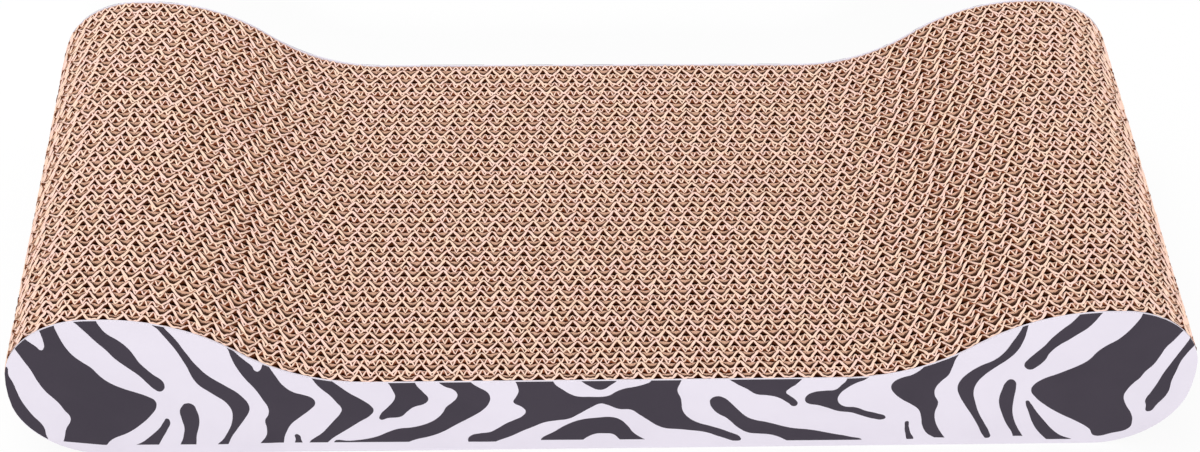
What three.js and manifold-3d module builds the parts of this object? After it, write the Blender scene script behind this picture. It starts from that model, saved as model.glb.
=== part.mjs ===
// A cat scratching lounge: corrugated boards, all die-cut to one outline with a flat seat between two
// raised bolsters, stand on edge and are glued face to face between two thin printed covers.
// Millimetres, +Z up. The origin is on the floor, in the middle of the footprint. The covers face -Y and +Y.
import * as THREE from 'three';
import { mergeVertices } from 'three/addons/utils/BufferGeometryUtils.js';
import Module from 'manifold-3d';

// The outline that all boards share, seen from the front
const LENGTH = 450; // end to end
const BOLSTER_HEIGHT = 75; // floor to the crest of each bolster
const SEAT_HEIGHT = 39.5; // floor to the flat seat
const TOE_RADIUS = 34; // lower corner of each end
const END_FLAT = 7; // upright stretch between the lower and the upper corner of an end
const CREST_FLAT = 5; // level stretch along the crest of a bolster
const SLOPE_RUN = 96; // from where the crest starts to fall to where the seat is level

// The corrugated boards
const BOARD_COUNT = 33;
const FLUTE_PITCH = 9; // from one flute tip to the next
const FLUTE_HEIGHT = 3.6; // the open flutes on the front of a board
const BACKING_THICKNESS = 1.7; // the closed fine-fluted ply behind them
const FLUTE_SHIFT = 3.4; // how much further along the corrugated web each next board is cut
const GLUE_LINE = 0.2; // between neighbouring boards

// The printed covers
const COVER_THICKNESS = 0.8;

// How finely the curves are divided
const COVER_CORNER_STEPS = 8;
const COVER_SLOPE_STEPS = 16;
const BOARD_CORNER_STEPS = 4;
const FLUTES_PER_FACET = 2; // a board's sloping edge bends only at every second flute
const OVERCUT = 1; // how far a cutting solid stands past what it cuts

// Sizes that follow
const endX = LENGTH / 2;
const toeX = endX - TOE_RADIUS;
const crestRadius = BOLSTER_HEIGHT - TOE_RADIUS - END_FLAT;
const crestX = endX - crestRadius - CREST_FLAT;
const seatX = crestX - SLOPE_RUN;
const slopeRise = BOLSTER_HEIGHT - SEAT_HEIGHT;
const slopeRadius = (SLOPE_RUN ** 2 + slopeRise ** 2) / (4 * slopeRise);
const boardThickness = FLUTE_HEIGHT + BACKING_THICKNESS;
const boardStep = boardThickness + GLUE_LINE;
const coreDepth = BOARD_COUNT * boardStep - GLUE_LINE;
const coverY = coreDepth / 2 + GLUE_LINE;

const wasm = await Module();
wasm.setup();

const kraft = { color: 0xc89f80, roughness: 0.95, metalness: 0, flatShading: true };
const print = { color: 0xebe6f0, roughness: 0.55, metalness: 0, flatShading: true };

// Height of the upper edge at x: the seat, a slope of two equal arcs that meet at half the rise, the crest.
function edgeHeight(x) {
  const run = Math.abs(x) - seatX;
  if (run <= 0) return SEAT_HEIGHT;
  if (run >= SLOPE_RUN) return BOLSTER_HEIGHT;
  const sag = (reach) => slopeRadius - Math.sqrt(slopeRadius ** 2 - reach ** 2);
  return run < SLOPE_RUN / 2 ? SEAT_HEIGHT + sag(run) : BOLSTER_HEIGHT - sag(SLOPE_RUN - run);
}

// Points of a quarter circle about (x, z), from the angle start in degrees, counter-clockwise.
function corner(x, z, radius, start, steps) {
  return Array.from({ length: steps + 1 }, (_, i) => {
    const angle = THREE.MathUtils.degToRad(start + (90 * i) / steps);
    return new THREE.Vector2(x + radius * Math.cos(angle), z + radius * Math.sin(angle));
  });
}

// The outline with its upper edge bent at the stations, which run from right to left.
function outline(stations, cornerSteps) {
  const crestCornerX = endX - crestRadius;
  const crestCornerZ = BOLSTER_HEIGHT - crestRadius;
  return new THREE.Shape([
    ...corner(toeX, TOE_RADIUS, TOE_RADIUS, 270, cornerSteps),
    ...corner(crestCornerX, crestCornerZ, crestRadius, 0, cornerSteps),
    ...stations.map((x) => new THREE.Vector2(x, edgeHeight(x))),
    ...corner(-crestCornerX, crestCornerZ, crestRadius, 90, cornerSteps),
    ...corner(-toeX, TOE_RADIUS, TOE_RADIUS, 180, cornerSteps),
  ]);
}

// A plate with the given outline in X and Z, between two planes of Y.
function plate(shape, frontY, backY) {
  const geometry = new THREE.ExtrudeGeometry(shape, { depth: backY - frontY, bevelEnabled: false });
  return geometry.rotateX(Math.PI / 2).translate(0, backY, 0);
}

function toSolid(geometry) {
  geometry.deleteAttribute('normal');
  geometry.deleteAttribute('uv');
  const merged = mergeVertices(geometry);
  return new wasm.Manifold(
    new wasm.Mesh({
      numProp: 3,
      vertProperties: merged.getAttribute('position').array,
      triVerts: new Uint32Array(merged.index.array),
    }),
  );
}

function toGeometry(solid) {
  const { vertProperties, triVerts } = solid.getMesh();
  const geometry = new THREE.BufferGeometry();
  geometry.setAttribute('position', new THREE.BufferAttribute(vertProperties, 3));
  geometry.setIndex(new THREE.BufferAttribute(triVerts, 1));
  geometry.computeVertexNormals();
  return geometry;
}

// Where the flute tips of a board lie: whole flutes only, over the stretch that stands flat on the floor.
function fluteTips(index) {
  const shift = (index * FLUTE_SHIFT) % FLUTE_PITCH;
  const tips = [];
  for (let x = shift - toeX; x <= toeX; x += FLUTE_PITCH) tips.push(x);
  return tips;
}

// A board seen from above, extruded upwards: flat behind, V-shaped flute channels in front.
function flutedBlock(tips) {
  const shape = new THREE.Shape();
  shape.moveTo(-endX - OVERCUT, 0);
  tips.slice(0, -1).forEach((x) => {
    shape.lineTo(x, 0);
    shape.lineTo(x + FLUTE_PITCH / 2, FLUTE_HEIGHT);
  });
  shape.lineTo(tips.at(-1), 0);
  shape.lineTo(endX + OVERCUT, 0);
  shape.lineTo(endX + OVERCUT, boardThickness);
  shape.lineTo(-endX - OVERCUT, boardThickness);
  const height = BOLSTER_HEIGHT + 2 * OVERCUT;
  return new THREE.ExtrudeGeometry(shape, { depth: height, bevelEnabled: false }).translate(0, 0, -OVERCUT);
}

// One core board, with its front face at y = 0. Its edge bends at the roots of its own flutes.
function coreBoard(index) {
  const tips = fluteTips(index);
  const roots = tips.slice(0, -1).map((x) => x + FLUTE_PITCH / 2);
  const facetRun = FLUTES_PER_FACET * FLUTE_PITCH;
  const sloping = (x) => Math.abs(x) > seatX - facetRun && Math.abs(x) < crestX;
  const bends = roots.filter((x, i) => i % FLUTES_PER_FACET === 0 && sloping(x));
  const slab = plate(outline(bends.reverse(), BOARD_CORNER_STEPS), -OVERCUT, boardThickness + OVERCUT);
  return toGeometry(toSolid(flutedBlock(tips)).intersect(toSolid(slab)));
}

// A cover, with its outer face at y = 0 and its board behind it.
function cover() {
  const slope = Array.from(
    { length: COVER_SLOPE_STEPS + 1 },
    (_, i) => crestX - (SLOPE_RUN * i) / COVER_SLOPE_STEPS,
  );
  const mirrored = slope.map((x) => -x).reverse();
  return plate(outline([...slope, ...mirrored], COVER_CORNER_STEPS), 0, COVER_THICKNESS);
}

function addMesh(group, name, geometry, finish, y) {
  const mesh = new THREE.Mesh(geometry, new THREE.MeshStandardMaterial(finish));
  mesh.name = name;
  mesh.position.y = y;
  group.add(mesh);
}

const lounge = new THREE.Group();
lounge.name = 'scratching_lounge';
addMesh(lounge, 'front_cover', cover(), print, -coverY - COVER_THICKNESS);
for (let i = 0; i < BOARD_COUNT; i += 1) {
  const name = `core_board_${String(i + 1).padStart(2, '0')}`;
  addMesh(lounge, name, coreBoard(i), kraft, i * boardStep - coreDepth / 2);
}
addMesh(lounge, 'rear_cover', cover(), print, coverY);

export default lounge;
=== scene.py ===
"""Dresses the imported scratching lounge: fluted boards, printed covers, a plain studio and the camera.

The lounge is a stack of double-wall corrugated boards that stand on edge between two printed covers.
Each board is made ply by ply, so its flutes are open from top to bottom, as on the real one.
"""

import logging
import math
from dataclasses import dataclass, replace
from enum import Enum, IntEnum
from typing import Any, Callable, Sequence

import bpy
import numpy as np
from mathutils import Matrix, Vector

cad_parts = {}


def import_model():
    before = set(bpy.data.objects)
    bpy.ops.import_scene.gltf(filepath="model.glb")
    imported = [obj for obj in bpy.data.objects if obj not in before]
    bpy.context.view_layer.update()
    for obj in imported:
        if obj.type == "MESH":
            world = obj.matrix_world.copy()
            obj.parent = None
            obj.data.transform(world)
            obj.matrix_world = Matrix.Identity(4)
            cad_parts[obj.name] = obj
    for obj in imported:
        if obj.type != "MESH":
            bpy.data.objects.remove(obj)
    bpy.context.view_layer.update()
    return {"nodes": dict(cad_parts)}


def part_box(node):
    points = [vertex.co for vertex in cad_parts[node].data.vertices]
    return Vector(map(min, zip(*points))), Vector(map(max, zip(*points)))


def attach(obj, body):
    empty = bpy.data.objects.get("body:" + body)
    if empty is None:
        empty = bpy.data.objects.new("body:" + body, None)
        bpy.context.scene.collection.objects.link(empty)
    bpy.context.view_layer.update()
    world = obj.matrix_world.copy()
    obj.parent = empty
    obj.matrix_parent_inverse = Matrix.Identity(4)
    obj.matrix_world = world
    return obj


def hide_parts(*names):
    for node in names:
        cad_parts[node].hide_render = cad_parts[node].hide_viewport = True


MM = 0.001
BODY = "root"
DEPTH = "cut_depth"  # point attribute: 0 along the cut edge, 1 below it; it places the painted shade of the kraft papers
THICKNESS = "paper_thickness"  # vertex group
CUT_ROW, FOOT_ROW = 1, -1  # the upper and the lower row of a strip's points
END_CROWDING = 0.28  # how much denser the columns of a strip lie towards its ends
WELD = 0.001 * MM  # points that lie closer are one
WHITE = (1.0, 1.0, 1.0)

Colour = tuple[float, float, float]
Point = tuple[float, float, float]
Pixel = tuple[float, float]
Span = tuple[float, float]
log = logging.getLogger("scratching_lounge")


class Slot(Enum):
    """The lounge's material slots."""

    BOARD = "kraft_board"
    COVER = "printed_cover"


class Ply(Enum):
    """The five papers of a double-wall board, from its front face to its back face."""

    FRONT_LINER = 0
    COARSE_FLUTE = 1
    MIDDLE_LINER = 2
    FINE_FLUTE = 3
    BACK_LINER = 4


class Face(Enum):
    """The material slot of each paper's faces; its cut edge has the slot after it."""

    LINER = 0
    FLUTE_PAINTED_SHADE = 2
    FINE = 4
    OUTER = 6


class Wave(IntEnum):
    """What a seeded wave is for; the value is a part of its seed."""

    JOINT_BOW = 7
    NICK = 9
    COARSE_DRIFT = 13
    FINE_DRIFT = 29
    PLY_BOW = 31
    FRAY = 41
    CUT_SLACK = 53
    EDGE_WIDTH = 61


@dataclass(frozen=True)
class Speckle:
    """A cloudy noise: the span that its soft ramp spreads out, and how much of it shows."""

    scale: float
    low: float
    high: float
    share: float = 1.0
    detail: float = 2.0


@dataclass(frozen=True)
class Grain:
    """A paper's fine grain: a noise that shows in its relief and its roughness."""

    scale: float
    depth: float
    strength: float
    roughness: float
    spread: float
    gloss: float = 0.05
    detail: float = 2.0
    stretch: Point = (1.0, 1.0, 1.0)


class Value:
    """A shader value that is written as a Python expression: each operator adds its Math node."""

    def __init__(self, nodes: "FinishNodes", socket: bpy.types.NodeSocket) -> None:
        """Wrap one output socket."""
        self.nodes = nodes
        self.socket = socket

    def _math(self, operation: str, first: Any, second: Any) -> "Value":
        """Add a Math node of two operands, each a Value or a number."""
        return self.nodes.add("ShaderNodeMath", {"operation": operation}, {0: first, 1: second})

    def __add__(self, other: Any) -> "Value":
        """Sum."""
        return self._math("ADD", self, other)

    def __radd__(self, other: Any) -> "Value":
        """Sum, with the number in front."""
        return self._math("ADD", other, self)

    def __mul__(self, other: Any) -> "Value":
        """Product."""
        return self._math("MULTIPLY", self, other)

    def __rmul__(self, other: Any) -> "Value":
        """Product, with the number in front."""
        return self._math("MULTIPLY", other, self)


class FinishNodes:
    """The node tree of a material or of the sky, with one method that adds any node."""

    def __init__(
        self, owner: bpy.types.Material | bpy.types.World, output: str = "ShaderNodeOutputMaterial"
    ) -> None:
        """Start the owner's tree with its output node alone.

        Args:
            owner: the material or the sky.
            output: the type of its output node.
        """
        self.owner = owner
        owner.use_nodes = True
        self.tree = owner.node_tree
        self.tree.nodes.clear()
        self.output = self.tree.nodes.new(output)

    def add(
        self,
        kind: str,
        settings: dict[str, Any] | None = None,
        sockets: dict[str | int, Any] | None = None,
        result: str | int = 0,
    ) -> Value:
        """Add a node.

        Args:
            kind: the node's type.
            settings: the node's own settings, which are set first.
            sockets: a value, or a Value to link, for each input, by name or by number.
            result: which of its outputs is wanted.

        Returns:
            That output.
        """
        node = self.tree.nodes.new(kind)
        for name, setting in (settings or {}).items():
            setattr(node, name, setting)
        for key, value in (sockets or {}).items():
            self._feed(self._pick(node.inputs, key), value)
        return Value(self, self._pick(node.outputs, result))

    @staticmethod
    def _pick(sockets: Any, key: str | int) -> bpy.types.NodeSocket:
        """A socket by its number, or by the name of one that is in use."""
        named = (socket for socket in sockets if socket.name == key and socket.enabled)
        return sockets[key] if isinstance(key, int) else next(named)

    def _feed(self, socket: bpy.types.NodeSocket, value: Any) -> None:
        """Link a Value into a socket, or set the socket to a plain value.

        Args:
            socket: the input.
            value: a Value, a number, or a colour of three numbers.
        """
        if isinstance(value, Value):
            self.tree.links.new(value.socket, socket)
        elif socket.type == "RGBA":
            socket.default_value = (*value, 1.0)
        else:
            socket.default_value = value

    def stretched(self, scale: Point) -> Value:
        """The Object coordinates, stretched by one factor per axis."""
        place = self.add("ShaderNodeTexCoord", result="Object")
        return self.add("ShaderNodeVectorMath", {"operation": "MULTIPLY"}, {0: place, 1: scale})

    def noise(self, scale: float, detail: float = 2.0, stretch: Point = (1.0, 1.0, 1.0)) -> Value:
        """A noise over the Object coordinates, from 0 to 1 and mostly about 0.5."""
        sockets = {"Vector": self.stretched(stretch), "Scale": scale, "Detail": detail}
        return self.add("ShaderNodeTexNoise", sockets=sockets)

    def ramp(self, value: Value, low: float, high: float) -> Value:
        """Where a value lies between low and high, from 0 to 1, with soft ends."""
        sockets = {"Value": value, "From Min": low, "From Max": high}
        return self.add("ShaderNodeMapRange", {"interpolation_type": "SMOOTHSTEP"}, sockets)

    def speckle(self, pattern: Speckle) -> Value:
        """Where a cloudy noise shows, from 0 to its share."""
        noise = self.noise(pattern.scale, pattern.detail)
        return self.ramp(noise, pattern.low, pattern.high) * pattern.share

    def grain(self, pattern: Grain) -> Value:
        """The noise of a fine grain."""
        return self.noise(pattern.scale, pattern.detail, pattern.stretch)

    def mix(self, first: Any, second: Any, share: Value) -> Value:
        """Mix two colours: the first where the share is 0, the second where it is 1."""
        sockets = {"Factor": share, "A": first, "B": second}
        return self.add("ShaderNodeMix", {"data_type": "RGBA"}, sockets, "Result")

    def bump(self, height: Value, depth: float, strength: float) -> Value:
        """The normal of a relief from 0 to 1, whose full depth is in metres, at some strength."""
        sockets = {"Height": height, "Distance": depth, "Strength": strength}
        return self.add("ShaderNodeBump", sockets=sockets, result="Normal")

    def paint(self, sockets: dict[str | int, Any]) -> Value:
        """A Principled BSDF with the given inputs."""
        return self.add("ShaderNodeBsdfPrincipled", sockets=sockets)

    def paper(self, colour: Value, grain: Grain) -> bpy.types.Material:
        """Make a paper of the tree's material.

        Args:
            colour: its colour.
            grain: its grain.

        Returns:
            The material.
        """
        noise = self.grain(grain)
        sockets = {
            "Base Color": colour,
            "Roughness": grain.roughness + grain.spread * noise,
            "Specular IOR Level": grain.gloss,
            "Normal": self.bump(noise, grain.depth, grain.strength),
        }
        return self.finish(self.paint(sockets))

    def seen(self) -> Value:
        """Tell the rays that show a backdrop from those that light.

        Returns:
            1 for a ray that shows it, straight or in a reflection, and 0 for one that lights.
        """
        kinds = ("Is Camera Ray", "Is Glossy Ray", "Is Transmission Ray")
        camera, glossy, through = (self.add("ShaderNodeLightPath", result=kind) for kind in kinds)
        return camera + glossy + through

    def finish(self, shader: Value) -> bpy.types.Material | bpy.types.World:
        """Close the tree with its surface, and return its owner."""
        self.tree.links.new(shader.socket, self.output.inputs["Surface"])
        return self.owner


@dataclass(frozen=True)
class KraftPaper:
    """Brown paper with cloudy pulp, patches of tint and short fibres, and painted shade below its cut edge,
    inside the flutes.
    """

    name: str
    warm: Colour
    pale: Colour
    dark: Colour
    # painted shade: the colour the paper takes below its cut edge, where the flutes lie in shadow
    painted_shade: Colour
    patches: Speckle = Speckle(55.0, 0.36, 0.64, detail=3.0)
    pulp: Speckle = Speckle(420.0, 0.35, 0.7, share=0.55, detail=3.0)
    # where the painted shade fades in, as a share of the cut_depth attribute
    inside: Span = (0.3, 0.6)
    fibres: Grain = Grain(2600.0, 0.05 * MM, 0.5, 0.86, 0.1, stretch=(1.0, 1.0, 0.22))

    def material(self) -> bpy.types.Material:
        """Make the material.

        Returns:
            The material.
        """
        nodes = FinishNodes(bpy.data.materials.new(self.name))
        tint = nodes.mix(self.warm, self.pale, nodes.speckle(self.patches))
        clouded = nodes.mix(tint, self.dark, nodes.speckle(self.pulp))
        # painted shade: the paper darkens below its cut edge, by the cut_depth attribute
        below = nodes.add("ShaderNodeAttribute", {"attribute_name": DEPTH}, result="Fac")
        return nodes.paper(nodes.mix(clouded, self.painted_shade, nodes.ramp(below, *self.inside)), self.fibres)


@dataclass(frozen=True)
class CutEdge:
    """A die-cut paper edge, with rosy patches, worn spots and loose fibres."""

    name: str
    fresh: Colour
    rosy: Colour
    worn: Colour
    patches: Speckle = Speckle(150.0, 0.36, 0.64)
    wear: Speckle = Speckle(240.0, 0.5, 0.75, share=0.6)
    fray: Grain = Grain(1500.0, 0.12 * MM, 0.6, 0.9, 0.08, detail=3.0)

    def material(self) -> bpy.types.Material:
        """Make the material.

        Returns:
            The material.
        """
        nodes = FinishNodes(bpy.data.materials.new(self.name))
        tint = nodes.mix(self.fresh, self.rosy, nodes.speckle(self.patches))
        return nodes.paper(nodes.mix(tint, self.worn, nodes.speckle(self.wear)), self.fray)


@dataclass(frozen=True)
class PrintedPaper:
    """The print on a cover, paper white or ink, with a faint paper tooth and a satin sheen."""

    name: str
    colour: Colour
    shade: Colour
    tooth: Grain
    tooth_share: float = 0.35
    clouds: Speckle = Speckle(38.0, 0.35, 0.68, share=0.5, detail=4.0)

    def material(self) -> bpy.types.Material:
        """Make the material.

        Returns:
            The material.
        """
        nodes = FinishNodes(bpy.data.materials.new(self.name))
        shading = nodes.speckle(self.clouds) + self.tooth_share * nodes.grain(self.tooth)
        return nodes.paper(nodes.mix(self.colour, self.shade, shading), self.tooth)


# The last colour of each kraft paper is painted shade, taken below the cut edge inside the flutes.
LINER = KraftPaper(
    "kraft_liner", (0.82, 0.50, 0.345), (0.84, 0.51, 0.37), (0.73, 0.43, 0.28), (0.56, 0.285, 0.165)
)
# painted shade: the coarse fluting's faces are near black, so the mouths under its tips look shadowed under
# any lamp
FLUTE_PAINTED_SHADE = KraftPaper(
    "kraft_fluting_painted_shade", (0.16, 0.047, 0.017), (0.17, 0.05, 0.02), (0.13, 0.037, 0.013), (0.13, 0.037, 0.013)
)
# the fine fluting is darker than the liners: partly a darker paper, partly painted shade that makes its
# mouths look dark
FINE = KraftPaper(
    "kraft_fine_fluting", (0.39, 0.14, 0.062), (0.40, 0.145, 0.07), (0.30, 0.10, 0.042), (0.30, 0.09, 0.036)
)
OUTER = KraftPaper(
    "kraft_outer_liner", (0.64, 0.335, 0.215), (0.66, 0.345, 0.24), (0.52, 0.255, 0.155), (0.37, 0.15, 0.07)
)
LINER_EDGE = CutEdge("liner_cut_edge", (0.52, 0.34, 0.25), (0.54, 0.34, 0.27), (0.38, 0.23, 0.16))
FLUTE_EDGE = CutEdge("fluting_cut_edge", (0.96, 0.70, 0.545), (0.97, 0.68, 0.59), (0.86, 0.57, 0.42))
COVER_EDGE = CutEdge("cover_cut_edge", (0.70, 0.60, 0.585), (0.72, 0.61, 0.60), (0.60, 0.49, 0.46))
TOOTH = Grain(1900.0, 0.03 * MM, 0.35, 0.5, 0.12, gloss=0.2)
INK_TOOTH = replace(TOOTH, roughness=0.55)
PAPER_WHITE = PrintedPaper("cover_white", (0.76, 0.715, 0.80), (0.72, 0.675, 0.76), TOOTH)
STRIPE_INK = PrintedPaper("stripe_ink", (0.044, 0.035, 0.050), (0.035, 0.028, 0.041), INK_TOOTH)


@dataclass(frozen=True)
class PhotoCamera:
    """The photographer's camera, in metres, degrees and pixels of the photograph."""

    place: Point = (-0.0448, -0.6672, 0.6915)
    pitch: float = 44.63
    yaw: float = 3.91
    roll: float = 2.37
    focal: float = 2298.0
    frame: Pixel = (1200.0, 452.0)
    sensor: float = 36.0

    def turn(self) -> Matrix:
        """How the camera is turned.

        Returns:
            A matrix whose columns point to the right, up, and back from the view.
        """
        pitch, yaw, roll = (math.radians(angle) for angle in (self.pitch, self.yaw, self.roll))
        ahead = Vector((math.sin(yaw) * math.cos(pitch), math.cos(yaw) * math.cos(pitch), -math.sin(pitch)))
        level = Vector((math.cos(yaw), -math.sin(yaw), 0.0))
        upright = level.cross(ahead)
        right = math.cos(roll) * level + math.sin(roll) * upright
        up = math.cos(roll) * upright - math.sin(roll) * level
        return Matrix((right, up, -ahead)).transposed()

    def cast(self, pixel: Pixel, plane: float) -> Vector:
        """Cast a pixel onto an upright plane that faces the front.

        Args:
            pixel: its place in the photograph.
            plane: where the plane stands, from front to rear.

        Returns:
            The point on the plane.
        """
        across, down = pixel[0] - self.frame[0] / 2, pixel[1] - self.frame[1] / 2
        ray = self.turn() @ Vector((across, -down, -self.focal))
        place = Vector(self.place)
        return place + ray * ((plane - place.y) / ray.y)

    def column(self, point: Vector) -> float:
        """The column of the photograph that shows a point."""
        across, _, behind = self.turn().transposed() @ (point - Vector(self.place))
        return self.frame[0] / 2 - self.focal * across / behind

    def add(self) -> None:
        """Add the camera and make it the scene's."""
        bpy.ops.object.camera_add()
        camera = bpy.context.object
        camera.name = "photo_camera"
        camera.matrix_world = Matrix.Translation(self.place) @ self.turn().to_4x4()
        camera.data.sensor_fit = "HORIZONTAL"
        camera.data.sensor_width = self.sensor
        camera.data.lens = self.sensor * self.focal / self.frame[0]
        bpy.context.scene.camera = camera


@dataclass(frozen=True)
class Outline:
    """The die-cut outline that all boards and covers share, seen from the front, in metres."""

    length: float = 450 * MM
    bolster_height: float = 75 * MM
    seat_height: float = 39.5 * MM
    toe_radius: float = 34 * MM
    end_flat: float = 7 * MM
    crest_flat: float = 5 * MM
    slope_run: float = 96 * MM

    @property
    def half(self) -> float:
        """Half the length."""
        return self.length / 2

    @property
    def crest_radius(self) -> float:
        """Radius of the upper corner of each end."""
        return self.bolster_height - self.toe_radius - self.end_flat

    def _corner(self, x: np.ndarray, radius: float) -> np.ndarray:
        """How far a rounded corner of the ends lies inside the square one."""
        reach = np.clip(np.abs(x) - (self.half - radius), 0.0, radius)
        return radius - np.sqrt(radius**2 - reach**2)

    def bottom(self, x: np.ndarray) -> np.ndarray:
        """Height of the lower edge."""
        return self._corner(x, self.toe_radius)

    def top(self, x: np.ndarray) -> np.ndarray:
        """Height of the upper edge: the seat, a slope of two equal arcs, the crest and its corner.

        Args:
            x: places along the lounge.

        Returns:
            The heights there.
        """
        rise = self.bolster_height - self.seat_height
        radius = (self.slope_run**2 + rise**2) / (4 * rise)
        seat_end = self.half - self.crest_radius - self.crest_flat - self.slope_run
        run = np.clip(np.abs(x) - seat_end, 0.0, self.slope_run)
        reach = np.minimum(run, self.slope_run - run)
        sag = radius - np.sqrt(radius**2 - reach**2)
        slope = np.where(run < self.slope_run / 2, self.seat_height + sag, self.bolster_height - sag)
        return slope - self._corner(x, self.crest_radius)


def deselect() -> None:
    """Clear the selection, which holds the frame's nodes after loading."""
    bpy.ops.object.select_all(action="DESELECT")


def select(piece: bpy.types.Object) -> None:
    """Select one object alone and make it active.

    Args:
        piece: the object.
    """
    deselect()
    piece.select_set(True)
    bpy.context.view_layer.objects.active = piece


def duplicate(piece: bpy.types.Object, name: str) -> bpy.types.Object:
    """Copy an object with its own mesh.

    Args:
        piece: what is copied.
        name: the copy's name.

    Returns:
        The copy.
    """
    select(piece)
    bpy.ops.object.duplicate(linked=False)
    copy = bpy.context.object
    copy.name = name
    copy.data.name = name
    return copy


def read_points(piece: bpy.types.Object) -> np.ndarray:
    """Read a mesh's vertices.

    Args:
        piece: the object.

    Returns:
        Their places, one row each.
    """
    points = np.empty(len(piece.data.vertices) * 3)
    piece.data.vertices.foreach_get("co", points)
    return points.reshape(-1, 3)


def write_points(piece: bpy.types.Object, points: np.ndarray) -> None:
    """Move a mesh's vertices."""
    piece.data.vertices.foreach_set("co", points.ravel())
    piece.data.update()


def apply_modifier(piece: bpy.types.Object, kind: str, **settings: Any) -> None:
    """Add a modifier and apply it.

    Args:
        piece: the object.
        kind: the modifier's type.
        settings: its settings.
    """
    select(piece)
    modifier = piece.modifiers.new(kind.lower(), kind)
    for name, value in settings.items():
        setattr(modifier, name, value)
    bpy.ops.object.modifier_apply(modifier=modifier.name)


def smooth(piece: bpy.types.Object, degrees: float) -> None:
    """Shade smooth across all edges that are flatter than an angle."""
    select(piece)
    bpy.ops.object.shade_smooth_by_angle(angle=math.radians(degrees))


def turn_outwards(piece: bpy.types.Object) -> None:
    """Merge a mesh's doubles and point its faces outwards.

    Args:
        piece: the object.
    """
    select(piece)
    bpy.ops.object.mode_set(mode="EDIT")
    bpy.ops.mesh.select_all(action="SELECT")
    bpy.ops.mesh.remove_doubles(threshold=WELD)
    bpy.ops.mesh.normals_make_consistent(inside=False)
    bpy.ops.object.mode_set(mode="OBJECT")


def strip(columns: int) -> bpy.types.Object:
    """Add a flat strip two quads high, from -1 to 1 both ways, to be shaped later.

    Args:
        columns: how many quads long it is.

    Returns:
        The strip.
    """
    deselect()
    bpy.ops.mesh.primitive_grid_add(x_subdivisions=columns, y_subdivisions=2, size=2.0)
    return bpy.context.object


def ease(value: np.ndarray, reach: float) -> np.ndarray:
    """How much of the way to reach a value has come, from 0 to 1, with soft ends."""
    share = np.clip(value / reach, 0.0, 1.0)
    return share**2 * (3.0 - 2.0 * share)


def spread(share: np.ndarray) -> np.ndarray:
    """Crowd the columns of a strip towards its two steep ends."""
    return (1.0 + END_CROWDING) * share - END_CROWDING * share**3


def zigzag(turns: np.ndarray) -> np.ndarray:
    """A zigzag that is 1 at each whole turn and 0 half way between."""
    return np.abs(2.0 * np.mod(turns, 1.0) - 1.0)


def thicken(piece: bpy.types.Object, thickness: float, group: str = "") -> None:
    """Thicken a sheet, less where a vertex group says so, with its rim in the next material slot."""
    settings = {"offset": 0.0, "use_rim": True, "material_offset_rim": 1, "vertex_group": group}
    apply_modifier(piece, "SOLIDIFY", thickness=thickness, **settings)


def declare(piece: bpy.types.Object, node: str) -> None:
    """Hang a finished piece on the frame and log it.

    Args:
        piece: the piece.
        node: the node that it stands for.
    """
    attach(piece, BODY)
    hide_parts(node)
    log.info("%s stands for %s with %d faces", piece.name, node, len(piece.data.polygons))


@dataclass(frozen=True)
class Ripple:
    """A seeded uneven wave along the board, made of a few sines of unlike length."""

    lengths: Sequence[float]
    least: float = 0.5

    def wave(self, x: np.ndarray, *seed: int) -> np.ndarray:
        """Draw one wave.

        Args:
            x: places along the board.
            seed: what sets it apart from the other waves.

        Returns:
            Its heights there, mostly between -1 and 1.
        """
        random = np.random.default_rng([int(part) for part in seed])
        phases = random.uniform(0.0, 2 * math.pi, len(self.lengths))
        sizes = random.uniform(self.least, 1.0, len(self.lengths))
        sizes /= np.sqrt((sizes**2).sum())
        waves = zip(sizes, self.lengths, phases)
        return sum(size * np.sin(2 * math.pi * x / length + phase) for size, length, phase in waves)


# Columns of the photograph where a coarse and a fine flute mouth lie, about the middle of the seat,
# for each board from the front.
FLUTE_MARKS: Sequence[Pixel] = (
    (599.1, 598.6), (601.2, 603.5), (600.3, 597.4), (597.4, 601.2), (606.3, 600.9), (611.5, 602.9),
    (611.3, 597.7), (596.7, 601.2), (596.5, 602.0), (599.1, 602.6), (596.3, 599.1), (598.6, 601.2),
    (599.1, 599.7), (600.6, 602.9), (603.5, 602.3), (609.2, 597.7), (596.0, 599.7), (598.6, 600.9),
    (602.3, 602.9), (600.9, 599.4), (605.5, 601.2), (607.2, 601.2), (595.7, 598.3), (603.8, 597.4),
    (606.1, 596.5), (594.5, 596.8), (596.0, 597.4), (598.0, 597.4), (599.4, 596.8), (602.0, 597.4),
    (607.5, 595.4), (607.2, 599.7), (595.7, 598.0),
)


@dataclass(frozen=True)
class Paper:
    """One paper of a board, in metres.

    Attributes:
        columns: how many quads long it is.
        face: its material slot.
        thickness: its thickness below the cut edge.
        burr: the thickness of its flared cut edge.
        sink: how far the cut edge lies below the outline.
        lip: how far below the cut edge the flare starts.
    """

    columns: int
    face: Face
    thickness: float
    burr: float
    sink: float
    lip: float


LINER_THICKNESS = 0.18 * MM
PAPERS: dict[Ply, Paper] = {
    Ply.FRONT_LINER: Paper(420, Face.OUTER, LINER_THICKNESS, 0.3 * MM, 0.3 * MM, 3.4 * MM),
    Ply.COARSE_FLUTE: Paper(1480, Face.FLUTE_PAINTED_SHADE, 0.4 * MM, 0.92 * MM, 0.0, 1.6 * MM),
    Ply.MIDDLE_LINER: Paper(420, Face.LINER, LINER_THICKNESS, 0.2 * MM, 0.4 * MM, 3.4 * MM),
    Ply.FINE_FLUTE: Paper(1080, Face.FINE, 0.24 * MM, 0.6 * MM, 0.0, 1.6 * MM),
    Ply.BACK_LINER: Paper(420, Face.OUTER, LINER_THICKNESS, 0.2 * MM, 0.3 * MM, 3.4 * MM),
}
THICKEST = 2 * PAPERS[Ply.COARSE_FLUTE].burr


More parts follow.
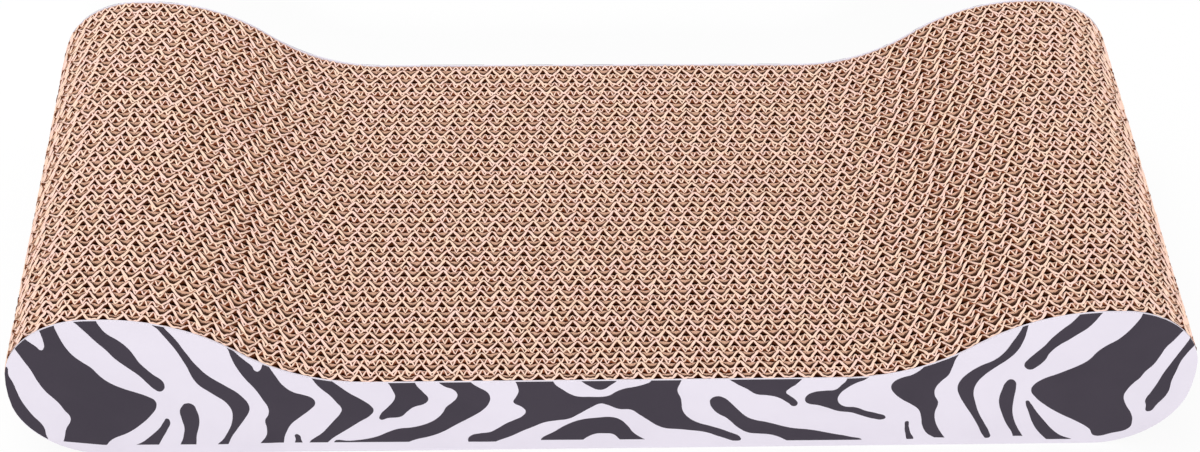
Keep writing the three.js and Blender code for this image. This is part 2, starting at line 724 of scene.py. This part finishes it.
def per_ply(ply: np.ndarray, measure: str) -> np.ndarray:
    """A measure of the paper that each point belongs to."""
    return np.choose(ply, [getattr(PAPERS[kind], measure) for kind in Ply])


@dataclass
class FlutedBoards:
    """The core: double-wall boards on edge, each with a coarse flute in front and a fine one behind.

    The liners sag into the hollows between the tips of the coarse flutes.
    """

    outline: Outline
    camera: PhotoCamera
    nodes: list[str]
    step: float = 5.5 * MM
    glue_line: float = 0.2 * MM
    cover_clear: float = 0.28 * MM
    coarse_front: float = -0.75 * MM
    coarse_height: float = 3.6 * MM
    coarse_pitch: float = 7.58 * MM
    coarse_reach: float = 1.25
    coarse_flare: float = 0.2 * MM
    coarse_dip: float = 0.57 * MM
    tip_slim: float = 0.3
    tip_slim_power: int = 4
    joint_front: float = -0.9 * MM
    joint_sag: float = 0.75 * MM
    joint_sag_end: float = 0.45
    middle_gap: float = 0.15 * MM
    middle_sag: float = 0.45 * MM
    middle_sag_power: float = 1.5
    middle_belly: float = 0.45 * MM
    fine_gap: float = 0.12 * MM
    fine_limit: float = 5.2 * MM
    fine_pitch: float = 2.93 * MM
    fine_bend: float = 1.4
    fine_front_flare: float = 0.55 * MM
    fine_back_flare: float = 0.36 * MM
    drift: float = 0.05
    bow: float = 0.07 * MM
    fray: float = 0.18 * MM
    nick: float = 0.22 * MM
    nick_limit: float = 0.6
    cut_slack: float = 0.1 * MM
    uneven: float = 0.16
    thickness_levels: int = 60
    crease: float = 40.0
    slow: Ripple = Ripple((37 * MM, 61 * MM, 113 * MM, 190 * MM))
    quick: Ripple = Ripple((2.1 * MM, 3.7 * MM, 6.3 * MM, 11.9 * MM, 29 * MM))

    def build(self) -> None:
        """Make every board, from front to rear."""
        blank = self._blank()
        for index, node in enumerate(self.nodes):
            board = duplicate(blank, node.replace("core", "fluted"))
            self._shape(board, index)
            thicken(board, THICKEST, THICKNESS)
            board.vertex_groups.clear()
            smooth(board, self.crease)
            declare(board, node)
        bpy.data.objects.remove(blank)

    @staticmethod
    def _blank() -> bpy.types.Object:
        """Model the five plies of one board as flat strips, each at a height that tells which it is.

        Returns:
            The joined strips.
        """
        pale, dull = FLUTE_EDGE.material(), LINER_EDGE.material()
        pairs = ((LINER, dull), (FLUTE_PAINTED_SHADE, pale), (FINE, pale), (OUTER, dull))
        finishes = [finish for paper, edge in pairs for finish in (paper.material(), edge)]
        plies = []
        for ply in Ply:
            sheet = strip(PAPERS[ply].columns)
            for finish in finishes:
                sheet.data.materials.append(finish)
            slots = np.full(len(sheet.data.polygons), PAPERS[ply].face.value)
            sheet.data.polygons.foreach_set("material_index", slots)
            points = read_points(sheet)
            # the mask of the kraft papers' painted shade: 0 on the cut row, 1 on the rows below it
            depth = sheet.data.attributes.new(DEPTH, "FLOAT", "POINT")
            depth.data.foreach_set("value", np.where(np.rint(points[:, 1]) == CUT_ROW, 0.0, 1.0))
            points[:, 2] = ply.value
            write_points(sheet, points)
            plies.append(sheet)
        deselect()
        for sheet in plies:
            sheet.select_set(True)
        bpy.context.view_layer.objects.active = plies[0]
        bpy.ops.object.join()
        plies[0].name = "board_blank"
        return plies[0]

    def _weigh(self, board: bpy.types.Object, ply: np.ndarray, edge: np.ndarray) -> None:
        """Weight each point by the thickness there.

        Args:
            board: the board.
            ply: which ply each point belongs to.
            edge: the thickness of the cut edge there, as a share of its burr, or 0 below it.
        """
        thickness = np.where(edge > 0.0, edge * per_ply(ply, "burr"), per_ply(ply, "thickness"))
        levels = np.rint(thickness / THICKEST * self.thickness_levels)
        levels = np.clip(levels, 1, self.thickness_levels)
        group = board.vertex_groups.new(name=THICKNESS)
        for level in np.unique(levels):
            points = np.flatnonzero(levels == level).tolist()
            group.add(points, level / self.thickness_levels, "REPLACE")

    def _turns(self, index: int, x: np.ndarray, fine: bool) -> np.ndarray:
        """How many flutes a place lies past the marked one of its board.

        Args:
            index: the board's number, from the front.
            x: places along the board.
            fine: whether fine flutes are counted, which lie behind the coarse ones.

        Returns:
            The counts.
        """
        behind = self.coarse_front + self.coarse_height if fine else 0.0
        middle = Vector((0.0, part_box(self.nodes[index])[0].y + behind, self.outline.seat_height))
        zero = self.camera.column(middle)
        scale = self.camera.column(middle + Vector((MM, 0.0, 0.0))) - zero
        marked = (FLUTE_MARKS[index][fine] - zero) / scale * MM
        pitch = self.fine_pitch if fine else self.coarse_pitch
        wave = Wave.FINE_DRIFT if fine else Wave.COARSE_DRIFT
        return (x - marked) / pitch + self.drift * self.slow.wave(x, wave, index)

    def _coarse(self, index: int, x: np.ndarray) -> np.ndarray:
        """The coarse flutes of a board, from 0 at the round front tips to 1 at the rear tips."""
        rise = ease(zigzag(self._turns(index, x, False)), self.coarse_reach)
        return rise / ease(np.ones(1), self.coarse_reach)

    def _fine(self, index: int, x: np.ndarray) -> np.ndarray:
        """The fine flutes of a board, from 0 at the front tips to 1 at the rear tips."""
        half_turn = 0.5
        return 1.0 - zigzag(self._turns(index, x, True) + half_turn) ** self.fine_bend

    def _joint(self, index: int, x: np.ndarray) -> np.ndarray:
        """How far the glued joint in front of a board lies behind its flat place; the covers stay flat.

        Args:
            index: the board's number, from the front.
            x: places along the board.

        Returns:
            The offsets towards the rear.
        """
        if index in (0, len(self.nodes)):
            return np.zeros_like(x)
        bow = self.bow * self.slow.wave(x, Wave.JOINT_BOW, index)
        sag = self.joint_sag * ease(self._coarse(index, x), self.joint_sag_end)
        return self.joint_front + bow + sag

    def _depths(self, index: int, x: np.ndarray) -> dict[Ply, np.ndarray]:
        """Where the middle of each ply lies behind the front of its board.

        Args:
            index: the board's number, from the front.
            x: places along the board.

        Returns:
            The offsets towards the rear, ply by ply.
        """
        rise = self._coarse(index, x)
        bow = self.bow * self.slow.wave(x, Wave.PLY_BOW, index)
        coarse = self.coarse_front + bow + self.coarse_height * rise
        if index == 0:
            coarse = np.maximum(coarse, self.cover_clear)
        sag = self.middle_sag * (1.0 - rise) ** self.middle_sag_power
        middle = self.coarse_front + self.coarse_height + self.middle_gap + bow - sag
        face = (LINER_THICKNESS - self.glue_line) / 2 + self._joint(index, x)
        back = self.step - (LINER_THICKNESS + self.glue_line) / 2 + self._joint(index + 1, x)
        fine_front = middle + self.fine_gap
        fine_back = np.minimum(back, self.fine_limit)
        return {
            Ply.FRONT_LINER: face,
            Ply.COARSE_FLUTE: coarse,
            Ply.MIDDLE_LINER: middle,
            Ply.FINE_FLUTE: fine_front + (fine_back - fine_front) * self._fine(index, x),
            Ply.BACK_LINER: back,
        }

    def _flares(self, index: int, x: np.ndarray) -> dict[Ply, np.ndarray]:
        """How far the cut lips spread past the paper below them, at the tips of the flutes.

        Args:
            index: the board's number, from the front.
            x: places along the board.

        Returns:
            The offsets towards the rear of the plies that spread.
        """
        rise = self._coarse(index, x)
        apex = self.coarse_flare * rise**2
        dip = self.coarse_dip * (index > 0) * (1.0 - rise) ** 2
        rise = self._fine(index, x)
        back = self.fine_back_flare * (index < len(self.nodes) - 1) * rise
        fine = back - self.fine_front_flare * (1.0 - rise)
        return {Ply.COARSE_FLUTE: apex - dip, Ply.MIDDLE_LINER: apex, Ply.FINE_FLUTE: fine}

    def _own_wave(self, x: np.ndarray, ply: np.ndarray, *seed: int) -> np.ndarray:
        """A quick wave along the board that each ply has to itself."""
        waves = {kind: self.quick.wave(x, *seed, kind.value) for kind in Ply}
        return sum((ply == kind.value) * wave for kind, wave in waves.items())

    def _shape(self, board: bpy.types.Object, index: int) -> None:
        """Bend the flat plies of a board into their places and weigh their thickness.

        Args:
            board: a copy of the blank.
            index: the board's number, from the front.
        """
        flat = read_points(board)
        x = spread(flat[:, 0]) * self.outline.half
        row, ply = np.rint(flat[:, 1:]).astype(int).T
        tip = row == CUT_ROW
        rise = self._coarse(index, x)
        uneven = 1.0 + self.uneven * self.quick.wave(x + ply * self.step, Wave.EDGE_WIDTH, index)
        slim = self.tip_slim * np.abs(2.0 * rise - 1.0) ** self.tip_slim_power
        self._weigh(board, ply, tip * uneven * (1.0 - slim * (ply == Ply.COARSE_FLUTE.value)))
        low = self.outline.bottom(x)
        slack = self.cut_slack * self.slow.wave(x, Wave.CUT_SLACK, index)
        nick = np.minimum(self._own_wave(x, ply, Wave.FRAY, index, Wave.NICK), self.nick_limit)
        high = self.outline.top(x) + slack - per_ply(ply, "sink") + self.nick * nick * tip
        lip_start = high - np.minimum(per_ply(ply, "lip"), (high - low) / 2)
        z = np.where(tip, high, np.where(row == FOOT_ROW, low, lip_start))
        depths = self._depths(index, x)
        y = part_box(self.nodes[index])[0].y + np.choose(ply, [depths[kind] for kind in Ply])
        flares = self._flares(index, x)
        flare = sum((ply == kind.value) * offset for kind, offset in flares.items())
        lean = self.fray * self._own_wave(x, ply, Wave.FRAY, index)
        belly = self.middle_belly * (1.0 - rise) * ((ply == Ply.MIDDLE_LINER.value) & ~tip)
        y = y + tip * (lean + flare) - belly
        write_points(board, np.stack([x, y, z], axis=1))


@dataclass(frozen=True)
class PrintGuide:
    """Where a point of the photographed print lies on the front cover.

    The photographed cover is a little lower at its left end than the outline, so a height read from the
    photograph is lifted, tilted, stretched and twisted until the cover's edges meet the outline.
    """

    camera: PhotoCamera
    lift: float = -0.84 * MM
    tilt: float = 0.0119
    stretch: float = 1.0133
    twist: float = -0.238

    def on_cover(self, pixel: Pixel, face: float) -> tuple[float, float]:
        """Find a pixel's place on the cover.

        Args:
            pixel: its place in the photograph.
            face: where the cover's outer face is.

        Returns:
            Its place along the lounge and its height.
        """
        point = self.camera.cast(pixel, face)
        lift = self.lift + self.tilt * point.x
        return point.x, lift + self.stretch * point.z + self.twist * point.x * point.z


# Points of the photograph round each stripe of the print. What reaches past the cover or the margin is cut.
STRIPES: dict[str, Sequence[Pixel]] = {
    "left_end_sliver": (
        (4.5, 366), (8.5, 375), (12.7, 381.5), (16.2, 389.2), (20.5, 397.7), (26.8, 406.2), (33.1, 413.2),
        (39.5, 418.9), (43.4, 423.8), (45.1, 430), (46, 437), (30, 434), (12, 418), (-2, 402), (-6, 390),
        (-6, 376),
    ),
    "left_broad": (
        (8, 342), (18, 336.5), (28, 342.5), (36, 347.5), (41.5, 351), (44, 348.5), (43.5, 343), (41, 336),
        (38, 326), (49, 319), (55, 330.5), (61, 341.5), (67, 350), (73, 356), (81, 361.5), (91, 367.5),
        (100.5, 376), (110, 382), (124, 387.5), (136, 391), (148, 395), (154.5, 398.5), (156, 404.5),
        (150.5, 412.5), (140, 421.5), (127.5, 429), (112, 435), (98, 446), (66, 446), (64.3, 430.5),
        (66, 424), (69.5, 418.5), (69.5, 413.5), (64, 407.5), (57.5, 400), (51.5, 395), (45, 389.5),
        (36.5, 379), (30.5, 369.5), (24, 361.5), (15, 350),
    ),
    "left_second": (
        (70, 320), (77.5, 327), (88, 336), (96, 343), (105, 350), (115, 359), (126, 366.5), (139, 375),
        (147, 382), (154.5, 388), (159.5, 390), (163.5, 388), (164, 383), (161, 379), (153, 374), (144, 367),
        (139, 362.5), (134, 356), (129, 350), (119.5, 342.5), (105.5, 334.5), (98.5, 327), (91, 318),
    ),
    "left_wedge": (
        (166.3, 415.6), (169.6, 418.5), (166.9, 426.2), (162.3, 433.8), (158.3, 440.5), (155, 446),
        (131, 446), (143.8, 436.9), (151.5, 431.2), (159.2, 424.6), (163.8, 418),
    ),
    "left_leaf": (
        (181, 405), (185, 401.5), (191.5, 402), (196.5, 408.5), (199, 417.5), (196.5, 430.5), (191, 446),
        (182, 446), (183, 433), (184, 425), (181.5, 416.5), (179.5, 408.5),
    ),
    "left_third": (
        (152, 325), (157.7, 330.8), (163, 336.5), (170, 344), (177, 352.3), (183, 361), (187, 367),
        (190, 373), (194, 379.2), (200, 385), (207.7, 389.6), (216.2, 394.6), (223, 398.5), (228.5, 403.5),
        (231.5, 408.5), (232.3, 414), (231.2, 421), (228.5, 427), (223.8, 434.6), (217, 445), (222, 445),
        (232.3, 432), (238.5, 424), (244.6, 416), (248.8, 409.2), (249.2, 405.4), (247, 400.4),
        (243, 396.2), (236.2, 390.8), (228.5, 386.5), (219.2, 381.5), (211.5, 377.3), (204.6, 372.7),
        (198.5, 367.3), (193, 362), (188.5, 356.5), (183, 350), (177.7, 343), (171.5, 336.5),
        (165.4, 330.8), (160, 325),
    ),
    "left_fork": (
        (224, 341), (228.5, 351), (231, 357.5), (237, 368), (245, 378), (255, 388), (263, 398.5), (268, 406),
        (268, 412.5), (265, 417.5), (266.5, 425), (266.5, 431.5), (260, 446), (278, 446), (285.5, 430.5),
        (291, 421.5), (299.5, 415), (310, 407.5), (315, 402), (312.5, 397), (303.5, 393.5), (293.5, 391),
        (283, 384.5), (275.5, 375.5), (269, 366.5), (264.5, 359.5), (262, 365.5), (259.5, 370), (256.5, 371),
        (251.5, 365.5), (243.5, 359.5), (236, 353.5), (229, 346),
    ),
    "left_tick": (
        (295.6, 431.2), (299.2, 432.2), (300.8, 436), (301.4, 441), (295.8, 441), (295.4, 436),
    ),
    "left_chevron": (
        (303, 370), (316, 368), (330, 379), (339.5, 385.5), (349.5, 392), (362, 398.5), (371, 404.5),
        (373.5, 408.5), (370, 413.5), (359.5, 419.5), (347, 426.8), (334, 434.2), (320, 443), (310, 443),
        (323.8, 428.7), (334, 418), (340, 411.5), (341.5, 407), (336.5, 401), (329, 393.5), (321.5, 388),
        (316, 383), (311, 377),
    ),
    "seat_left_flag": (
        (386, 378), (389.5, 384), (393, 390), (395, 394.6), (393.6, 399.2), (387.4, 405.8), (380.5, 412.5),
        (380.3, 417.4), (388, 416), (401, 414.6), (407, 410), (413, 405.8), (425.4, 401.7), (428.3, 397.6),
        (423.5, 391.5), (417.2, 385.5), (411, 378),
    ),
    "seat_left_hook": (
        (334, 438.6), (350, 437.8), (366, 436.2), (378, 433.5), (388.5, 429.4), (398.7, 426.4),
        (411, 425.3), (421.3, 423.3), (431.5, 419.7), (437.7, 416), (442.8, 411), (446, 405.8),
        (452, 401.2), (456.7, 396.6), (457, 392.3), (452, 388), (445.5, 386), (437, 380), (434, 374),
        (464, 374), (472, 382.5), (479, 386.7), (487, 391), (490, 395.6), (489, 401.7), (483, 408.4),
        (472.6, 414.6), (457, 422.3), (441.8, 430), (429.5, 434), (416, 436.8), (404, 440.5), (370, 443),
        (340, 442),
    ),
    "seat_bow_tie": (
        (514, 374), (517, 384), (518.5, 390.5), (516, 396), (513.5, 401), (522, 405.8), (525.7, 410),
        (522.6, 414.5), (513.6, 418.7), (506.4, 421.7), (497, 427), (490.5, 430), (479, 431.5), (472, 433),
        (468, 437), (470.5, 441), (488, 442), (499, 438.2), (511.5, 434), (522, 429.4), (531, 426),
        (545, 420.8), (557, 419), (569, 417.4), (579, 412.8), (591.5, 406.2), (600.8, 402.6), (607, 403.8),
        (619, 408), (631, 408.8), (638.5, 413), (648, 419), (658, 424.8), (666.4, 427.4), (678, 428.2),
        (690, 429.4), (706, 431.5), (721.5, 436.5), (739.5, 440), (741, 438), (726.5, 430.5), (711, 425.5),
        (697, 421.5), (687, 415.5), (682.5, 409), (681.7, 403), (681, 398), (677.5, 389.5), (680.5, 382),
        (683, 373), (657, 373), (650, 381.5), (645.5, 383.4), (635.6, 386), (624.4, 388), (617, 390.6),
        (609, 394.8), (601.8, 396), (590, 396), (578, 395.6), (571, 393.5), (563, 389), (555, 383.5),
        (549, 374),
    ),
    "seat_cap": (
        (575, 374), (582, 381), (589.5, 385.5), (598.5, 389), (604, 388.5), (610, 385), (616, 381),
        (622, 374),
    ),
    "seat_arch": (
        (541, 440), (555.6, 429.4), (569, 422.3), (581.3, 418.4), (595.6, 416.7), (613, 416.2),
        (620.3, 418.6), (627.4, 424.3), (633.6, 431.5), (643, 437.4), (652, 442), (626, 443), (619, 437.4),
        (613.5, 433), (604, 432), (595.6, 432.4), (588, 435.2), (578, 441), (560, 444),
    ),
    "seat_right_club": (
        (710, 402.5), (711, 398.5), (717.4, 395.8), (724, 397.3), (731, 402.5), (737.5, 408.7), (748, 417),
        (757, 420), (765, 421.4), (790.4, 427.5), (811.5, 429.8), (832.7, 433.8), (850, 437), (862, 441),
        (855, 446), (800, 446), (786, 440), (778, 436.3), (769, 434), (758, 433.2), (748, 432),
        (737.5, 426.6), (731, 421), (726, 417), (719, 413.5), (713.5, 409),
    ),
    "seat_right_beak": (
        (727, 374), (736, 383), (747, 388.5), (756.5, 393.8), (768, 395), (777.7, 397), (788, 402.5),
        (794, 406), (797.5, 404), (795.5, 399.5), (790, 395.5), (786.2, 392), (790, 388), (797, 383.5),
        (803, 374),
    ),
    "right_fork": (
        (875, 370), (866, 379), (857, 382.5), (848.5, 387), (839.5, 394.5), (838, 401), (843.5, 406),
        (856, 407.5), (866, 411), (876.5, 413.5), (885.5, 417.5), (883, 419.5), (874, 419), (861, 415.5),
        (851, 412.5), (838, 411), (827, 407.5), (818, 405), (807.5, 403), (805, 399.5), (807.5, 395),
        (814, 392), (825.5, 390.5), (835.5, 389.5), (842, 384.5), (846, 381), (852, 370),
    ),
    "right_tick": (
        (906.8, 421.5), (908.6, 427), (910, 433), (912, 441), (908.2, 441), (905.2, 434), (904.6, 427.5),
    ),
    "right_boot": (
        (927, 364), (913, 374.3), (901.7, 377.7), (894.3, 381.5), (891.2, 386.8), (894.5, 393.5),
        (902, 399.5), (912, 405), (918.5, 410), (921, 418), (922, 426), (927, 434.4), (934, 438.5),
        (941, 446), (950, 446), (944, 438.2), (938.5, 430), (935, 421.5), (934.7, 413), (938, 402.7),
        (934.7, 395.3), (935.6, 388), (941.5, 381), (948.3, 375.2), (952, 368), (955, 360.4), (959, 348),
        (937, 350),
    ),
    "right_third": (
        (1034, 309), (1030, 320), (1027, 331), (1024.5, 338.5), (1017, 351), (1008, 359), (996.5, 366.5),
        (984, 375.5), (976, 384.5), (973.5, 393.5), (975, 402), (978.5, 413.5), (984, 424), (989, 434),
        (989.5, 438), (986, 439.5), (982.5, 436.5), (977.5, 426.5), (971, 415), (964.5, 405), (959.5, 396),
        (957.5, 388), (960.5, 380.5), (968.5, 373), (981, 365.5), (994, 360), (1004, 352.5), (1013, 341),
        (1019.5, 332), (1027, 319),
    ),
    "right_leaf": (
        (1010.7, 379.4), (1015.5, 382), (1016, 387), (1013.5, 400), (1012.2, 412), (1013.5, 420),
        (1017, 429), (1022, 437.5), (1026, 446), (1017, 446), (1011, 433), (1006, 425), (1001.5, 414),
        (999, 405), (999.2, 398), (1002, 390), (1005.8, 382.5),
    ),
    "right_wedge": (
        (1026.5, 401.3), (1031, 405), (1035, 411), (1043.5, 421.7), (1052, 431.3), (1060.4, 437.4),
        (1072, 441.5), (1080, 447), (1052, 447), (1045.6, 441), (1038.5, 434), (1033, 426), (1027.6, 411),
        (1025.6, 404.5),
    ),
    "right_second": (
        (1110, 303), (1101.5, 313), (1096, 319.5), (1088, 327), (1078.5, 333), (1069, 339), (1059.5, 344.5),
        (1050, 352.5), (1045, 360), (1037, 366.5), (1031, 369.5), (1026, 368), (1024.5, 364), (1028.5, 359),
        (1036, 352.5), (1045, 345), (1051, 338.5), (1056.5, 333.5), (1064.5, 327), (1072, 321.5),
        (1080, 313.5), (1090, 303),
    ),
    "right_broad": (
        (1150, 306), (1140, 318), (1132.5, 326.5), (1124.5, 334), (1117, 339.5), (1107.5, 344.5),
        (1098, 351), (1088.5, 360), (1078.5, 365.5), (1069, 369.5), (1057.5, 374), (1042.5, 379.5),
        (1033.5, 385.5), (1031, 391), (1034.5, 397), (1045, 406), (1060, 415), (1075.5, 422.5),
        (1088.5, 430.5), (1093.5, 437.5), (1111, 435), (1128, 430), (1131.5, 422.5), (1130.5, 415),
        (1125.5, 406), (1123.5, 397), (1126.5, 391), (1134, 383), (1139, 379), (1145.5, 371.5),
        (1153.5, 364.5), (1160, 356), (1166.5, 346.5), (1174.5, 339), (1182.5, 330.5), (1190, 322),
        (1178, 314),
    ),
    "right_end_sliver": (
        (1189, 339.5), (1183, 347.5), (1176, 356.5), (1170, 364.5), (1163, 374), (1157.5, 383),
        (1151, 392.5), (1144.8, 401.5), (1145.3, 406), (1147, 413), (1157, 405), (1167.5, 393.5),
        (1171.5, 381), (1176.5, 370.5), (1181, 361), (1187, 353), (1197, 340), (1195, 332),
    ),
}

# Points of the photograph along the line where the print stops above the white margin.
PRINT_FOOT: Sequence[Pixel] = (
    (30, 434), (70, 437.5), (103, 440.4), (222, 440.4), (280, 439.2), (405, 439.2), (490, 439.6),
    (543, 438.2), (643, 438.2), (740, 440.3), (858, 440.2), (910, 439.8), (935, 438.4), (985, 439.3),
    (1013, 437.4), (1021, 437.4), (1046, 441), (1070, 441), (1094, 438.5), (1130, 434),
)


@dataclass
class PrintedCovers:
    """The two covers: a thin plate with a pale cut edge, and zebra stripes on its outer face."""

    outline: Outline
    guide: PrintGuide
    columns: int = 360
    curve_steps: int = 5
    crease: float = 30.0
    least_margin: float = 0.5 * MM
    ink_film: float = 0.04 * MM
    ink_sink: float = 0.1 * MM
    clip_depth: float = 2.0 * MM

    def build(self) -> None:
        """Make both covers and both prints."""
        low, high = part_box("front_cover")
        plate = self._sheet("front_printed_board", self.outline.bottom, low.y, high.y)
        for finish in (PAPER_WHITE, COVER_EDGE):
            plate.data.materials.append(finish.material())
        smooth(plate, self.crease)
        stripes = self._stripes("front_stripes", low.y)
        rear_plate = self._turned(plate, "rear_printed_board")
        rear_stripes = self._turned(stripes, "rear_stripes")
        for piece in (plate, stripes):
            declare(piece, "front_cover")
        for piece in (rear_plate, rear_stripes):
            declare(piece, "rear_cover")

    def _sheet(
        self, name: str, foot: Callable[[np.ndarray], np.ndarray], front: float, back: float
    ) -> bpy.types.Object:
        """Model a plate with the upper edge of the outline, its rim in the next material slot.

        Args:
            name: its name.
            foot: the height of its lower edge along the lounge.
            front: where its front face is.
            back: where its back face is.

        Returns:
            The plate.
        """
        plate = strip(self.columns)
        plate.name = name
        plate.data.name = name
        flat = read_points(plate)
        x = spread(flat[:, 0]) * self.outline.half
        share = (flat[:, 1] + 1.0) / 2
        z = foot(x) * (1.0 - share) + self.outline.top(x) * share
        y = np.full_like(x, (front + back) / 2)
        write_points(plate, np.stack([x, y, z], axis=1))
        thicken(plate, back - front)
        return plate

    def _foot_line(self, x: np.ndarray) -> np.ndarray:
        """Height of the line where the print stops above the white margin.

        Args:
            x: places along the lounge.

        Returns:
            The heights there.
        """
        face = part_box("front_cover")[0].y
        along, heights = zip(*(self.guide.on_cover(pixel, face) for pixel in PRINT_FOOT))
        return np.maximum(np.interp(x, along, heights), self.outline.bottom(x) + self.least_margin)

    def _stripes(self, name: str, front: float) -> bpy.types.Object:
        """Model the stripes as a film of ink, cut off at the cover's edge and at the margin.

        Args:
            name: the piece's name.
            front: where the cover's outer face is.

        Returns:
            The stripes.
        """
        curve = bpy.data.curves.new(name, "CURVE")
        curve.dimensions = "2D"
        curve.fill_mode = "BOTH"
        curve.resolution_u = self.curve_steps
        curve.extrude = (self.ink_film + self.ink_sink) / 2
        for pixels in STRIPES.values():
            spline = curve.splines.new("BEZIER")
            spline.bezier_points.add(len(pixels) - 1)
            spline.use_cyclic_u = True
            for point, pixel in zip(spline.bezier_points, pixels):
                point.co = (*self.guide.on_cover(pixel, front), 0.0)
                point.handle_left_type = "AUTO"
                point.handle_right_type = "AUTO"
        stripes = bpy.data.objects.new(name, curve)
        bpy.context.scene.collection.objects.link(stripes)
        stripes.location.y = front + (self.ink_sink - self.ink_film) / 2
        stripes.rotation_euler.x = math.pi / 2
        select(stripes)
        bpy.ops.object.convert(target="MESH")
        bpy.ops.object.transform_apply(location=True, rotation=True, scale=True)
        turn_outwards(stripes)
        reach = self.clip_depth
        area = self._sheet("print_area", self._foot_line, front - reach, front + reach)
        apply_modifier(stripes, "BOOLEAN", operation="INTERSECT", solver="EXACT", object=area)
        bpy.data.objects.remove(area)
        stripes.data.materials.clear()
        stripes.data.materials.append(STRIPE_INK.material())
        return stripes

    @staticmethod
    def _turned(piece: bpy.types.Object, name: str) -> bpy.types.Object:
        """Copy a front piece to the rear, turned half round about the upright axis.

        Args:
            piece: the front piece.
            name: the copy's name.

        Returns:
            The copy.
        """
        copy = duplicate(piece, name)
        copy.rotation_euler.z = math.pi
        bpy.ops.object.transform_apply(location=True, rotation=True, scale=True)
        return copy


@dataclass(frozen=True)
class Softbox:
    """A square lamp that faces the lounge, in metres and watts."""

    name: str
    place: Point
    size: float
    power: float

    def hang(self) -> None:
        """Add the lamp."""
        bpy.ops.object.light_add(type="AREA", location=self.place)
        lamp = bpy.context.object
        lamp.name = self.name
        lamp.rotation_euler = (-Vector(self.place)).to_track_quat("-Z", "Y").to_euler()
        lamp.data.size = self.size
        lamp.data.energy = self.power


@dataclass
class Studio:
    """A white floor and sky, with a soft light from the front and one from above."""

    floor_size: float = 8.0
    floor_quads: int = 4
    floor_colour: Colour = (0.95, 0.95, 0.95)
    floor_bounce: Colour = (0.5, 0.5, 0.5)
    floor_white: float = 0.9
    floor_roughness: float = 0.95
    grain_scale: float = 60.0
    grain_shade: float = 0.98
    sky: float = 0.47
    lamps: Sequence[Softbox] = (
        Softbox("front_softbox", (0.05, -4.45, 2.25), 0.75, 168.0),
        Softbox("top_softbox", (-0.35, 0.85, 1.35), 1.0, 11.8),
    )

    def build(self) -> None:
        """Make the floor, the sky and the lamps."""
        self._floor()
        self._sky()
        for lamp in self.lamps:
            lamp.hang()

    def _floor(self) -> None:
        """Lay the floor: matt, and mostly white where the camera sees it."""
        deselect()
        quads = {"x_subdivisions": self.floor_quads, "y_subdivisions": self.floor_quads}
        bpy.ops.mesh.primitive_grid_add(size=self.floor_size, **quads)
        floor = bpy.context.object
        floor.name = "studio_floor"
        nodes = FinishNodes(bpy.data.materials.new("studio_floor"))
        seen = nodes.seen()
        grain = nodes.noise(self.grain_scale)
        shade = [channel * self.grain_shade for channel in self.floor_colour]
        colour = nodes.mix(self.floor_bounce, nodes.mix(self.floor_colour, shade, grain), seen)
        sockets = {"Base Color": colour, "Roughness": self.floor_roughness, "Specular IOR Level": 0.0}
        matt = nodes.paint(sockets)
        white = nodes.add("ShaderNodeEmission", sockets={"Color": WHITE, "Strength": 1.0})
        layers = {0: seen * self.floor_white, 1: matt, 2: white}
        floor.data.materials.append(nodes.finish(nodes.add("ShaderNodeMixShader", sockets=layers)))

    def _sky(self) -> None:
        """Light the scene from all round, and show white behind it."""
        world = bpy.data.worlds.new("studio_sky")
        bpy.context.scene.world = world
        nodes = FinishNodes(world, "ShaderNodeOutputWorld")
        sockets = {"Value": nodes.seen(), "To Min": self.sky, "To Max": 1.0}
        strength = nodes.add("ShaderNodeMapRange", sockets=sockets)
        nodes.finish(nodes.add("ShaderNodeBackground", sockets={"Color": WHITE, "Strength": strength}))


def main() -> None:
    """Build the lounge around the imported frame, then the studio."""
    logging.basicConfig(level=logging.INFO, format="%(name)s: %(message)s")
    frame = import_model()
    deselect()
    bpy.context.scene.view_settings.view_transform = "Standard"
    camera = PhotoCamera()
    camera.add()
    outline = Outline()
    boards = sorted(name for name in frame["nodes"] if name.startswith("core_board"))
    FlutedBoards(outline, camera, boards).build()
    PrintedCovers(outline, PrintGuide(camera)).build()
    Studio().build()


if __name__ == "__main__":
    main()
